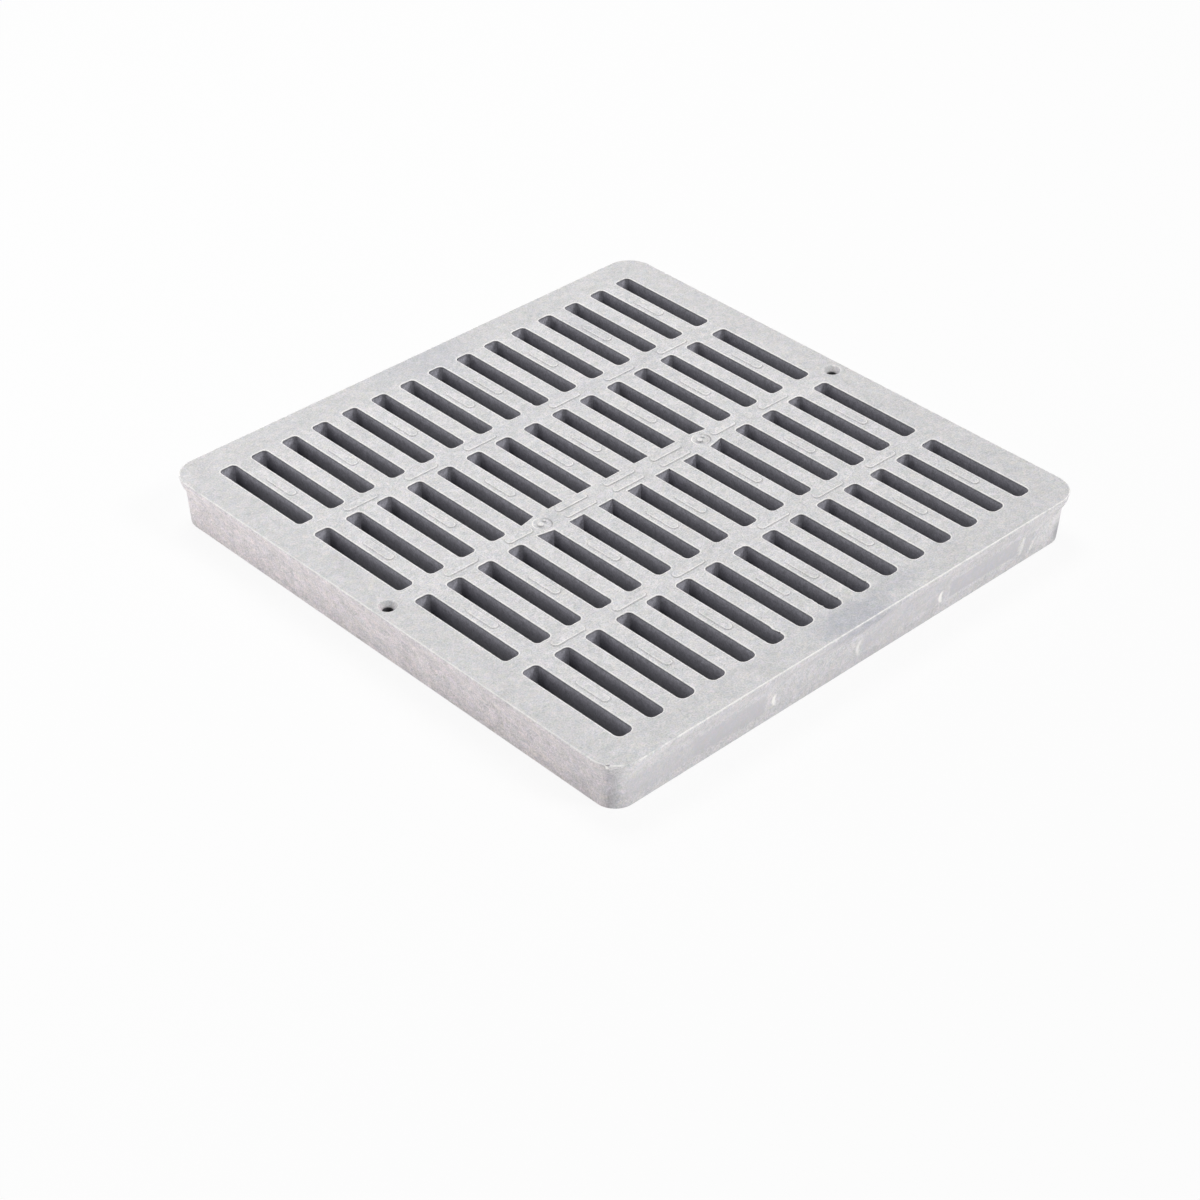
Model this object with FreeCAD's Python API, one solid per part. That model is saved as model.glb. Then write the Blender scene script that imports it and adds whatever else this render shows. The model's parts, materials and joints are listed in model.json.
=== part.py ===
"""Square gully grate, moulded in one piece.

A flat plate with four rows of tapered slots stands on a skirt that is set in
under its rim, so that it drops into the seat of a square catch basin. The
slots leave deep bars and crossbars, the border is cored out from below, and
two countersunk screw holes hold the grate down. Low oblong pads on the bars
and crossbars give grip underfoot.

X runs across the slots, Y runs along them and Z is up. The origin is the
middle of the grate on the plane of the skirt's foot. All sizes are in
millimetres.
"""
import FreeCAD, Part
import math
import os

# Outside of the moulding
grate_side = 296.4            # across the rim, edge to edge, both ways
grate_height = 25.8           # foot of the skirt to the top face
rim_corner_radius = 14.0      # corners of the rim, seen from above
rim_depth = 6.6               # height of the rim's outer edge
rim_draft = 0.6               # how far that edge leans in on its way down
top_edge_break = 0.4          # chamfer round the top face

# Skirt under the rim
skirt_inset = 3.5             # rim's outer edge to the skirt's outer face
skirt_wall = 5.0              # thickness at the root
skirt_draft = 0.3             # lean of each face of the skirt over its height
cove_height = 3.8             # hollow curve between rim and skirt
foot_round = 0.8              # rounded outer edge of the foot

# Slots
slot_width = 8.9              # at the top face
slot_pitch = 18.0             # one slot to the next, across the slots
slot_corner_radius = 2.0      # at the top face
slot_taper = 1.1              # each wall falls back this much over the full height
slot_rows = 4
corner_flats = 3              # flats that make up the round of each slot's and pad's corner
end_margin = 15.9             # rim's edge to the ends of the outer slots
least_side_margin = 15.0      # rim's edge to the first slot is never less than this
crossbar_width = 9.6          # between one row of slots and the next

# Plain panel in the middle of the centre crossbar
panel_width = 14.0            # the crossbar's width there
panel_side_columns = 2        # slots shortened to square ends, each side of the middle one
panel_run_out = 1.8           # how far the slanted end of the next slot falls back

# Underside
plate_thickness = 7.0         # over the cored border
groove_width = 3.6            # cored groove between skirt and slots
rib_width = 4.0               # ribs that cross the groove in line with the bars
rib_recess = 1.5              # bars and ribs stop this far above the foot

# Screw holes, one at the middle of each side edge
screw_edge_distance = 7.45    # rim's edge to the hole's centre
screw_hole_diameter = 4.8
countersink_diameter = 8.2
countersink_depth = 2.6
boss_diameter = 13.0          # round the holes, under the plate

# Raised pads
pad_length = 18.4
pad_width = 4.0
pad_height = 0.5
pad_slope = 0.15              # each edge leans in this much over the pad's height
pad_roundness = 0.9           # share of a full half round at each end
short_pad_length = 15.0       # beside the gate marks
panel_pad_width = 3.2
panel_pad_offset = 3.1        # rows of panel pads from the crossbar's middle

# Gate marks on the centre crossbar
gate_offset = 5.5             # from the panel's end to the mark's centre
gate_diameter = 8.4
gate_depth = 0.4
gate_nub_diameter = 1.8
gate_nub_height = 0.7         # above the floor of the mark

# Sizes that follow from those above
half_side = grate_side / 2
side_columns = int((half_side - least_side_margin - slot_width / 2) / slot_pitch)
row_length = (grate_side - 2 * end_margin - (slot_rows - 1) * crossbar_width) / slot_rows
row_pitch = row_length + crossbar_width
panel_half_length = (panel_side_columns + 0.5) * slot_pitch
overshoot = 1.0               # how far a cutting shape runs past a face

ROOT_HALF = math.sqrt(0.5)


def outline(corners, radii, z):
    """Points round a convex outline, with each corner's arc taken in a few equal flats."""
    points = []
    for index, corner in enumerate(corners):
        here = FreeCAD.Vector(*corner, z)
        radius = radii[index]
        if radius == 0:
            points.append(here)
            continue
        back = FreeCAD.Vector(*corners[index - 1], z) - here
        ahead = FreeCAD.Vector(*corners[(index + 1) % len(corners)], z) - here
        half_angle = back.getAngle(ahead) / 2
        trim = radius / math.tan(half_angle)
        start = here + back.normalize() * trim
        end = here + ahead.normalize() * trim
        centre = here + (back + ahead).normalize() * (radius / math.sin(half_angle))
        turn = math.pi - 2 * half_angle
        for step in range(corner_flats + 1):
            from_start = math.sin(turn * step / corner_flats) / math.sin(turn)
            from_end = math.sin(turn * (corner_flats - step) / corner_flats) / math.sin(turn)
            points.append(centre + (start - centre) * from_end + (end - centre) * from_start)
    return points


def core(lower, upper):
    """Solid between two outlines that have the same number of points."""
    faces = []
    for index in range(len(lower)):
        side = [lower[index - 1], lower[index], upper[index], upper[index - 1], lower[index - 1]]
        faces.append(Part.Face(Part.makePolygon(side)))
    for points in (lower, upper):
        faces.append(Part.Face(Part.makePolygon(points + points[:1])))
    shell = Part.makeShell(faces)
    shell.sewShape()
    solid = Part.makeSolid(shell)
    if solid.Volume < 0:
        solid.reverse()
    return solid


def ring(inset, z):
    """Square wire set in from the rim, whose corner arcs share the rim's centres."""
    half = half_side - inset
    radius = rim_corner_radius - inset
    straight = half - radius
    edges = []
    for quarter in range(4):
        turn = FreeCAD.Rotation(FreeCAD.Vector(0, 0, 1), 90 * quarter)
        diagonal = straight + radius * ROOT_HALF
        arc_points = [(half, straight), (diagonal, diagonal), (straight, half)]
        start, middle, end = [turn.multVec(FreeCAD.Vector(x, y, z)) for x, y in arc_points]
        next_start = turn.multVec(FreeCAD.Vector(-straight, half, z))
        edges.append(Part.Arc(start, middle, end).toShape())
        edges.append(Part.makeLine(end, next_start))
    return Part.Wire(edges)


def loft(wires):
    """Solid with straight walls from each wire to the next."""
    return Part.makeLoft(wires, True, True)


def outer_levels():
    """Height and inset from the rim of each ring, from the foot up to the top face."""
    foot_inset = skirt_inset + skirt_draft
    foot_mid = foot_round * (1 - ROOT_HALF)
    levels = [(0, foot_inset + foot_round), (foot_mid, foot_inset + foot_mid), (foot_round, foot_inset)]
    cove_steps = 3
    for step in range(cove_steps + 1):
        angle = math.radians(90 * step / cove_steps)
        height = grate_height - rim_depth - cove_height * (1 - math.sin(angle))
        inset = rim_draft + (skirt_inset - rim_draft) * math.cos(angle)
        levels.append((height, inset))
    levels.append((grate_height - top_edge_break, 0))
    levels.append((grate_height, top_edge_break))
    return levels


def outer_block():
    """Rim, cove and skirt as one solid block, before anything is cut from it."""
    return loft([ring(inset, height) for height, inset in outer_levels()])


def row_centre(row):
    """Y of the middle of a row of slots, with rows counted from the -Y side."""
    return (row - (slot_rows - 1) / 2) * row_pitch


def slot_outline(column, row, spread):
    """Corners and corner radii of one slot, grown by spread on every side.

    Columns count from the middle one. A slot beside the centre crossbar stops
    short of the panel there, and the next one along ends on a slant.
    """
    inner_x = abs(column) * slot_pitch - slot_width / 2
    inner_y = abs(row_centre(row)) - row_length / 2
    outer_y = inner_y + row_length
    outer_radius = slot_corner_radius + spread
    inner_radius = outer_radius
    slope = 0
    beside_centre = abs(2 * row - (slot_rows - 1)) == 1
    if beside_centre and abs(column) <= panel_side_columns:
        inner_y += (panel_width - crossbar_width) / 2
        inner_radius = 0
    if beside_centre and abs(column) == panel_side_columns + 1:
        inner_y += (panel_width - crossbar_width) / 2
        slope = -panel_run_out / slot_width
    end_spread = spread * math.hypot(1, slope)
    start_y = inner_y - slope * spread - end_spread
    end_y = inner_y + slope * (slot_width + spread) - end_spread
    side = math.copysign(1, column)
    away = math.copysign(1, row_centre(row))
    corners = [
        (side * (inner_x - spread), away * start_y),
        (side * (inner_x + slot_width + spread), away * end_y),
        (side * (inner_x + slot_width + spread), away * (outer_y + spread)),
        (side * (inner_x - spread), away * (outer_y + spread)),
    ]
    return corners, [inner_radius, inner_radius, outer_radius, outer_radius]


def slot_core(column, row):
    """Tapered core that forms one slot, wider at the bottom."""
    ends = []
    for height in (-overshoot, grate_height + overshoot):
        spread = slot_taper * (grate_height - height) / grate_height
        corners, radii = slot_outline(column, row, spread)
        ends.append(outline(corners, radii, height))
    return core(*ends)


def slot_cores():
    """Cores of every slot in the grate."""
    columns = range(-side_columns, side_columns + 1)
    return [slot_core(column, row) for row in range(slot_rows) for column in columns]


def bar_centres():
    """X of every bar between two columns of slots, with its number counted from the middle."""
    for number in range(1, side_columns + 1):
        for side in (-1, 1):
            yield side * (number - 0.5) * slot_pitch, number


def crossbar_centres():
    """Y of every crossbar."""
    for number in range(slot_rows - 1):
        yield (number - (slot_rows - 2) / 2) * row_pitch


def slab(half_x, half_y, low, high, x=0, y=0):
    """Plain block centred on x and y, between two heights."""
    corner = FreeCAD.Vector(x - half_x, y - half_y, low)
    return Part.makeBox(2 * half_x, 2 * half_y, high - low, corner)


def screw_positions():
    """Centres of the two screw holes on the foot's plane."""
    return [FreeCAD.Vector(side * (half_side - screw_edge_distance), 0, 0) for side in (-1, 1)]


def underside_cores():
    """Cores that form the border's groove and the step up to the bars."""
    underside = grate_height - plate_thickness
    wall_inset = skirt_inset + skirt_wall
    outer_wires = []
    inner_wires = []
    for height in (-overshoot, underside):
        lean = skirt_draft * (underside - height) / underside
        outer_wires.append(ring(wall_inset - lean, height))
        inner_wires.append(ring(wall_inset + groove_width + lean, height))
    opening = loft(outer_wires)
    groove = opening.cut(loft(inner_wires))
    step = opening.common(slab(half_side, half_side, -overshoot, rib_recess))

    ribs = [slab(rib_width / 2, half_side, -overshoot, underside, x=x) for x, number in bar_centres()]
    ribs += [slab(half_side, rib_width / 2, -overshoot, underside, y=y) for y in crossbar_centres()]
    below = FreeCAD.Vector(0, 0, -overshoot)
    bosses = []
    for place in screw_positions():
        bosses.append(Part.makeCylinder(boss_diameter / 2, grate_height, place + below))
    return [groove.cut(ribs + bosses), step.cut(bosses)]


def screw_cores():
    """Bore and countersink of each screw hole."""
    cores = []
    slope = (countersink_diameter - screw_hole_diameter) / 2 / countersink_depth
    for place in screw_positions():
        bore_start = place - FreeCAD.Vector(0, 0, overshoot)
        cores.append(Part.makeCylinder(screw_hole_diameter / 2, grate_height + 2 * overshoot, bore_start))
        cone_start = place + FreeCAD.Vector(0, 0, grate_height - countersink_depth)
        wide = countersink_diameter / 2 + slope * overshoot
        cores.append(Part.makeCone(screw_hole_diameter / 2, wide, countersink_depth + overshoot, cone_start))
    return cores


def gate_cores():
    """Shallow round marks, each with the broken nub of the gate left standing."""
    cores = []
    floor = grate_height - gate_depth
    for side in (-1, 1):
        place = FreeCAD.Vector(side * (panel_half_length + gate_offset), 0, floor)
        dish = Part.makeCylinder(gate_diameter / 2, gate_depth + overshoot, place)
        nub = Part.makeCylinder(gate_nub_diameter / 2, gate_nub_height, place)
        cores.append(dish.cut(nub))
    return cores


def pad(x, y, length, width, along_y):
    """Low oblong pad with rounded ends and sloping edges, standing on the top face."""
    half_x, half_y = (width / 2, length / 2) if along_y else (length / 2, width / 2)
    ends = []
    for height in (grate_height - pad_height, grate_height + pad_height):
        grow = pad_slope * (grate_height - height) / pad_height
        right, left = x + half_x + grow, x - half_x - grow
        back, front = y + half_y + grow, y - half_y - grow
        corners = [(right, back), (left, back), (left, front), (right, front)]
        ends.append(outline(corners, [width * pad_roundness / 2 + grow] * 4, height))
    return core(*ends)


def bar_pads():
    """Pads along every other bar, half way down each row of slots."""
    pads = []
    for x, number in bar_centres():
        if number % 2 == 1:
            for row in range(slot_rows):
                pads.append(pad(x, row_centre(row), pad_length, pad_width, True))
    return pads


def crossbar_pads():
    """Pads along the crossbars, where they meet the bars that carry none."""
    pads = []
    for x, number in bar_centres():
        if number % 2 == 1:
            continue
        for y in crossbar_centres():
            length = pad_length
            if y == 0 and number <= panel_side_columns + 1:
                continue
            if y == 0 and number == panel_side_columns + 2:
                length = short_pad_length
            centre = x + math.copysign((pad_length - length) / 2, x)
            pads.append(pad(centre, y, length, pad_width, False))
    return pads


def panel_pads():
    """Two rows of three plain pads that fill the middle panel."""
    pads = []
    spacing = 2 * panel_half_length / 3
    for place in (-1, 0, 1):
        for side in (-1, 1):
            pads.append(pad(place * spacing, side * panel_pad_offset, pad_length, panel_pad_width, False))
    return pads


def grate():
    """The whole moulding."""
    body = outer_block()
    body = body.cut(slot_cores() + underside_cores() + screw_cores() + gate_cores())
    body = body.fuse(bar_pads() + crossbar_pads() + panel_pads())
    return body.removeSplitter()


if __name__ == "__main__":
    os.makedirs("parts", exist_ok=True)
    moulding = grate()
    moulding.exportStep("parts/grate.step")
    box = moulding.BoundBox
    print("solids", len(moulding.Solids), "valid", moulding.isValid())
    print("box %.2f x %.2f x %.2f" % (box.XLength, box.YLength, box.ZLength))
    print("volume %.0f mm3" % moulding.Volume)
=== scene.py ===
"""Square gully grate in grey moulded polyethylene, dressed for a product picture.

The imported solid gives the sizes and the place. The one moulding is modelled
again over it with its fine edges: rounded slot rims, the flash round the top,
soft pads, gate marks, screw seats, the cored underside and small moulding
faults. Heights and sizes in the mesh code are in millimetres, and the finished
mesh is brought to metres.
"""

import json
import math
from functools import partial
from itertools import product
from types import SimpleNamespace

import bmesh
import bpy
from bpy.props import FloatProperty, FloatVectorProperty, PointerProperty
from mathutils import Matrix, Vector


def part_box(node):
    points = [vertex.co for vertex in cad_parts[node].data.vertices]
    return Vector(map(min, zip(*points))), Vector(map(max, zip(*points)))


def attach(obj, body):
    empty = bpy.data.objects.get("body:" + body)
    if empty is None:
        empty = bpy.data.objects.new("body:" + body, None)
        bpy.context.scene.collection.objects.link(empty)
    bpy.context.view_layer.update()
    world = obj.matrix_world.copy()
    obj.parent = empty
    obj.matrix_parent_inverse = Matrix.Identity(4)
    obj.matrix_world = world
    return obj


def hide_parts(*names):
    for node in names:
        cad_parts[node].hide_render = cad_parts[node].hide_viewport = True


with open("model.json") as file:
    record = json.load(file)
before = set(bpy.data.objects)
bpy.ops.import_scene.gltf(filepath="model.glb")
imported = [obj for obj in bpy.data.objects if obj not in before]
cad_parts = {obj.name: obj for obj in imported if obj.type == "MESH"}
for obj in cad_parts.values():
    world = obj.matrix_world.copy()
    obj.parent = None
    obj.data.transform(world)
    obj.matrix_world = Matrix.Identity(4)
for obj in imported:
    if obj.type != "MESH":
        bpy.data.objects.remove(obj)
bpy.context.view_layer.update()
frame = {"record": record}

bl_info = {
    "name": "Gully Grate",
    "version": (1, 0, 0),
    "blender": (4, 5, 0),
    "location": "3D View > Sidebar > Gully Grate",
    "description": "Builds a moulded square gully grate and the studio round it",
    "category": "Object",
}

NODE = "grate"
PIECE = "moulded_grate"
MM = 0.001

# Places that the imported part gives, in millimetres
PACKED_LOW, PACKED_HIGH = [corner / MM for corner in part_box(NODE)]
SCREWS = next(mount for mount in frame["record"]["mounts"] if mount["kind"] == "bolt_pattern")["dims"]
SCREW_X = SCREWS["spacing_x_mm"] / 2
SCREW_RADIUS = SCREWS["hole_r_mm"]

# Layout of the slots, which the solid shares
SLOT_ROWS = 4
SIDE_COLUMNS = 7
PANEL_SIDE_COLUMNS = 2

# Straight pieces in the arcs and circles of the mesh
ARC_STEPS = 5
RIM_ARC_STEPS = 36
CIRCLE_STEPS = 40
SMALL_CIRCLE_STEPS = 20
PIN_CIRCLE_STEPS = 32
QUARTER_STEPS = 4

# Indices of the moulding's materials, and the mesh's note of the painted light at each vertex:
# a painted highlight along edges, and painted shade in creases where the value is below nothing
SKIN, WALL = 0, 1
PAINTED_EDGE_LIGHT = "edge_paleness"

# Outside of the grate, from the rounded edge over the lip to the flat skirt: depth below the
# top face and inset from the rim's edge, in millimetres
OUTSIDE_PROFILE = [
    (1.0, 0.12), (2.5, 0.42), (3.7, 0.72), (4.5, 1.05), (5.1, 1.45),
    (5.8, 1.85), (6.7, 2.2), (7.8, 2.52), (9.0, 2.78),
]

# Round marks that the ejector pins left in the front of the skirt: place along it and radius
# in millimetres, and the strength of the painted highlight on the burr along their left side
PIN_MARKS = [(-49.6, 3.4, 1.2), (4.4, 4.9, 0.6), (57.2, 3.4, 1.6)]
PIN_MARK_HEIGHT = 9.9

# Chip in the rim's edge at the near corner: its place seen from above, and how far it reaches
CHIP = (-146.2, -142.0)
CHIP_REACH = 1.3


def length(name, millimetres, description):
    """Property for one length of the grate, kept in metres as all of Blender's are."""
    return FloatProperty(
        name=name, description=description, default=millimetres * MM,
        min=0.0, precision=5, unit="LENGTH", subtype="DISTANCE")


def linear(code):
    """Linear colour of an sRGB hex value."""
    values = [int(code[place:place + 2], 16) / 255 for place in (1, 3, 5)]
    return [value / 12.92 if value <= 0.04045 else ((value + 0.055) / 1.055) ** 2.4 for value in values]


def light_level(name, value, description, unit="NONE"):
    """Property for one level of the light."""
    return FloatProperty(name=name, description=description, default=value, unit=unit)


def colour(name, code, description):
    """Property for one colour of the finish."""
    return FloatVectorProperty(
        name=name, description=description, default=linear(code),
        min=0.0, max=1.0, size=3, subtype="COLOR")


class GrateSizes(bpy.types.PropertyGroup):
    """Sizes of the moulding."""

    side: length("Side", PACKED_HIGH.x - PACKED_LOW.x, "Across the rim, edge to edge")
    top: length("Top face", 25.8, "Height of the top face above the foot")
    rim_corner: length("Rim corner", 14.0, "Radius of the rim's corners, seen from above")
    skirt_inset: length("Skirt inset", 3.5, "Rim's edge to the outer face of the skirt")
    skirt_wall: length("Skirt wall", 5.0, "Thickness of the skirt at its root")
    foot_round: length("Foot rounding", 0.8, "Radius of the foot's outer edge")
    slot_width: length("Slot width", 8.9, "Width of a slot at the top face")
    slot_pitch: length("Slot pitch", 18.0, "One slot to the next")
    slot_corner: length("Slot corner", 2.3, "Radius of a slot's corners")
    slot_end_corner: length("Slot end corner", 3.0, "Radius of a slot's corners beside the front border")
    slot_taper: length("Slot taper", 1.1, "How far each wall falls back over the full height")
    slot_edge: length("Slot edge", 0.42, "Radius of the rounded rim of each slot")
    end_margin: length("End margin", 15.9, "Rim's edge to the ends of the outer slots")
    crossbar: length("Crossbar", 9.6, "Width between two rows of slots")
    panel_width: length("Panel width", 14.0, "Width of the centre crossbar's middle panel")
    plate: length("Plate", 7.0, "Thickness over the cored border")
    groove: length("Groove", 3.6, "Width of the cored groove")
    rib: length("Rib", 4.0, "Thickness of the ribs across the groove")
    recess: length("Recess", 1.5, "How far bars and ribs stop above the foot")
    pad_length: length("Pad length", 18.4, "Length of a raised pad")
    pad_width: length("Pad width", 4.0, "Width of a raised pad")
    pad_height: length("Pad height", 0.5, "Height of a raised pad")
    flash: length("Flash", 0.07, "Height of the flash along the top edge")


class GrateFinish(bpy.types.PropertyGroup):
    """Colours and surface of the moulding."""

    skin: colour("Skin", "#D2D1D2", "Top face as moulded")
    rough_side: colour("Rough side", "#D3CDCF", "Outer face with the coarser, warmer grain")
    smooth_side: colour("Smooth side", "#D6D4D6", "Outer face from the polished side of the mould")
    cool_patch: colour("Cool patch", "#BABBC2", "Smoother patches where the melt cooled last")
    polished_band: colour("Polished band", "#CAC8CC", "Polished bands along the smooth side")
    # This colour is painted shade, laid down the near corner and on a low spot at the front's right end
    painted_corner_shade: colour("Worn corner", "#ABABB0", "Scuffed corner of the rim and the skirt")
    # The edge colour is a painted highlight, mixed in along thin edges by the mesh's painted light; the pale
    # scratches use it too
    edge: colour("Edge", "#FFFDFA", "Thin edges, where the plastic is lit through")
    # Both slot wall colours are painted shade: darker than the skin just under the rim, and darker still at
    # half depth
    wall: colour("Slot wall", "#C1C0C9", "Slot walls just under the rim")
    painted_wall_shade: colour("Deep wall", "#4A4954", "Slot walls at half depth")
    grain: length("Grain", 0.7, "Width of the fine grain")
    grain_depth: length("Grain depth", 0.03, "Depth of the fine grain")
    mottle: length("Mottle", 2.7, "Width of the mottling")
    swirl: length("Swirl", 13.0, "Width of the swirls that the melt left")
    vein: length("Vein", 9.0, "Spacing of the thin pale veins in the swirls")


class StudioSettings(bpy.types.PropertyGroup):
    """Light and floor round the grate."""

    overhead: light_level("Overhead", 8.6, "Power of the softbox above the grate", "POWER")
    side: light_level("Side", 1.4, "Power of the softbox beside the rough side", "POWER")
    front: light_level("Front", 0.32, "Share of the light that comes from the front right")
    ambient: light_level("Ambient", 0.34, "Radiance of the room above the horizon")
    horizon: light_level("Horizon", 3.0, "Radiance of the light band round the horizon")
    floor: colour("Floor", "#F2F2F2", "Floor as the light sees it")


def values_of(group):
    """Settings of a property group by name: lengths in millimetres, and colours with an alpha of 1."""
    values = {name: getattr(group, name) for name in group.__annotations__}
    return SimpleNamespace(**{
        name: value / MM if isinstance(value, float) else (*value, 1.0) for name, value in values.items()})


def add_object(name, data):
    """Object with the data, linked into the scene at the origin."""
    made = bpy.data.objects.new(name, data)
    bpy.context.scene.collection.objects.link(made)
    return made


# Settings and a colour that many nodes share
SMOOTH = {"interpolation_type": "SMOOTHSTEP"}
COLOURS = {"data_type": "RGBA"}
CLAMPED_ADD = {"operation": "ADD", "use_clamp": True}
SUBTRACT, MULTIPLY, MULTIPLY_ADD, SCALE, ABSOLUTE, MINIMUM, MAXIMUM, WRAP, LENGTH = [
    {"operation": name} for name in (
        "SUBTRACT", "MULTIPLY", "MULTIPLY_ADD", "SCALE", "ABSOLUTE", "MINIMUM", "MAXIMUM", "WRAP", "LENGTH")]
WHITE = (1, 1, 1, 1)


def add_node(tree, kind, settings=None, inputs=()):
    """Shader node with its own settings.

    Its inputs come by name, or in the order that the node shows them. Each is a
    value, a socket, or a node, of which the first output is taken.
    """
    made = tree.nodes.new("ShaderNode" + kind)
    for name, value in (settings or {}).items():
        setattr(made, name, value)
    if isinstance(inputs, dict):
        sockets = [made.inputs[name] for name in inputs]
        inputs = inputs.values()
    else:
        sockets = [socket for socket in made.inputs if socket.enabled]
    for socket, value in zip(sockets, inputs):
        if isinstance(value, bpy.types.Node):
            value = next(output for output in value.outputs if output.enabled)
        if isinstance(value, bpy.types.NodeSocket):
            tree.links.new(value, socket)
        else:
            socket.default_value = value
    return made


def node_adder(owner):
    """The function above for the emptied node tree of a material or a world."""
    owner.use_nodes = True
    owner.node_tree.nodes.clear()
    return partial(add_node, owner.node_tree)


def combined(node, operation, shares):
    """Several shares put together by one operation, from the first to the last."""
    total = shares[0]
    for share in shares[1:]:
        total = node("Math", operation, [total, share])
    return total


class Blank:
    """Mesh under construction, in millimetres, with the paleness of the edge noted at each vertex."""

    def __init__(self):
        self.mesh = bmesh.new()
        self.mesh.verts.layers.float.new(PAINTED_EDGE_LIGHT)

    def polygon(self, corners, radii, height, pale=0.0, steps=ARC_STEPS):
        """Closed ring of edges at one height, with each corner rounded to its radius."""
        verts = [self.mesh.verts.new((x, y, height)) for x, y in corners]
        self.mesh.faces.new(verts)
        trims = {}
        for index, vert in enumerate(verts):
            if radii[index] > 0:
                back = verts[index - 1].co - vert.co
                ahead = verts[(index + 1) % len(verts)].co - vert.co
                trim = radii[index] / math.tan(back.angle(ahead) / 2)
                trims.setdefault(round(trim, 6), []).append(vert)
        ring = dict.fromkeys(verts)
        for trim, group in trims.items():
            for vert in group:
                del ring[vert]
            arcs = bmesh.ops.bevel(
                self.mesh, geom=group, offset=trim, offset_type="OFFSET", segments=steps,
                profile=0.5, affect="VERTICES", material=-1)
            ring.update(dict.fromkeys(arcs["verts"]))
        return self.finished(ring, pale)

    def circle(self, centre, radius, height, pale=0.0, steps=CIRCLE_STEPS):
        """Round ring of edges at one height."""
        place = Matrix.Translation((*centre, height))
        made = bmesh.ops.create_circle(self.mesh, segments=steps, radius=radius, matrix=place)
        return self.finished(made["verts"], pale)

    def finished(self, verts, pale):
        """Edges of a new ring, freed of its face and marked with its paleness."""
        paleness = self.mesh.verts.layers.float[PAINTED_EDGE_LIGHT]
        for vert in verts:
            vert[paleness] = pale
        faces = dict.fromkeys(face for vert in verts for face in vert.link_faces)
        bmesh.ops.delete(self.mesh, geom=list(faces), context="FACES_ONLY")
        return list(dict.fromkeys(edge for vert in verts for edge in vert.link_edges))

    def join(self, rings, material=SKIN):
        """Skin from each ring to the next.

        The operator goes by the way from ring to ring to tell which way round each
        one runs, so one of the two is moved clear in height while it works.
        """
        clear = 30.0
        for first, second in zip(rings, rings[1:]):
            verts = list(ring_verts(second))
            heights = [vert.co.z for vert in verts]
            lift = math.copysign(clear, heights[0] - first[0].verts[0].co.z)
            for vert in verts:
                vert.co.z += lift
            made = bmesh.ops.bridge_loops(self.mesh, edges=first + second)
            for vert, height in zip(verts, heights):
                vert.co.z = height
            for face in made["faces"]:
                face.material_index = material

    def absorb(self, other):
        """Takes in another blank's mesh and frees it."""
        carrier = bpy.data.meshes.new("carrier")
        other.mesh.to_mesh(carrier)
        other.mesh.free()
        self.mesh.from_mesh(carrier)
        bpy.data.meshes.remove(carrier)

    def weigh(self, rings, share):
        """Scales the paleness round some rings by a share that is worked out for each vertex."""
        paleness = self.mesh.verts.layers.float[PAINTED_EDGE_LIGHT]
        for ring in rings:
            for vert in ring_verts(ring):
                vert[paleness] *= share(vert)

    def fill(self, edges):
        """Flat faces between closed rings."""
        bmesh.ops.triangle_fill(self.mesh, edges=edges, use_beauty=True)

    def fill_level(self, height):
        """Flat faces between all rings that are still open at one height."""
        near = 0.001
        self.fill([
            edge for edge in self.mesh.edges
            if edge.is_boundary and all(abs(vert.co.z - height) < near for vert in edge.verts)])


def square(half):
    """Corners of a square round the middle."""
    return [(half, half), (-half, half), (-half, -half), (half, -half)]


def ring_verts(ring):
    """Vertices of a ring of edges."""
    return dict.fromkeys(vert for edge in ring for vert in edge.verts)


def towards(vert, centre, way):
    """How far a vertex of a round ring lies from the centre along a way, as a share of that way."""
    return (vert.co.xy - Vector(centre)).normalized().dot(Vector(way))


def quarter(radius):
    """Points round an outward quarter circle: how far back from the tangent line, and how far down."""
    for step in range(QUARTER_STEPS + 1):
        angle = math.radians(90 * step / QUARTER_STEPS)
        yield radius * (1 - math.sin(angle)), radius * (1 - math.cos(angle))


def foot_inset(sizes):
    """Inset of the skirt just above its rounded foot."""
    draft = 0.3
    return sizes.skirt_inset + draft


def skirt_inset_at(depth, sizes):
    """Inset of the flat skirt at a depth below the top face."""
    start_depth, start_inset = OUTSIDE_PROFILE[-1]
    share = (depth - start_depth) / (sizes.top - sizes.foot_round - start_depth)
    return start_inset + share * (foot_inset(sizes) - start_inset)


def rim_outline(sizes, inset):
    """Corners and radii of the rim's outline, with a point each side of every rounded corner."""
    past_round = 1.0
    half, radius = sizes.side / 2 - inset, sizes.rim_corner - inset
    beside = half - radius - past_round
    corners, radii = [], []
    for x, y in square(1):
        turn = [(x * half, y * beside), (x * half, y * half), (x * beside, y * half)]
        corners += turn if x * y > 0 else turn[::-1]
        radii += [0.0, radius, 0.0]
    return corners, radii


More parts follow.
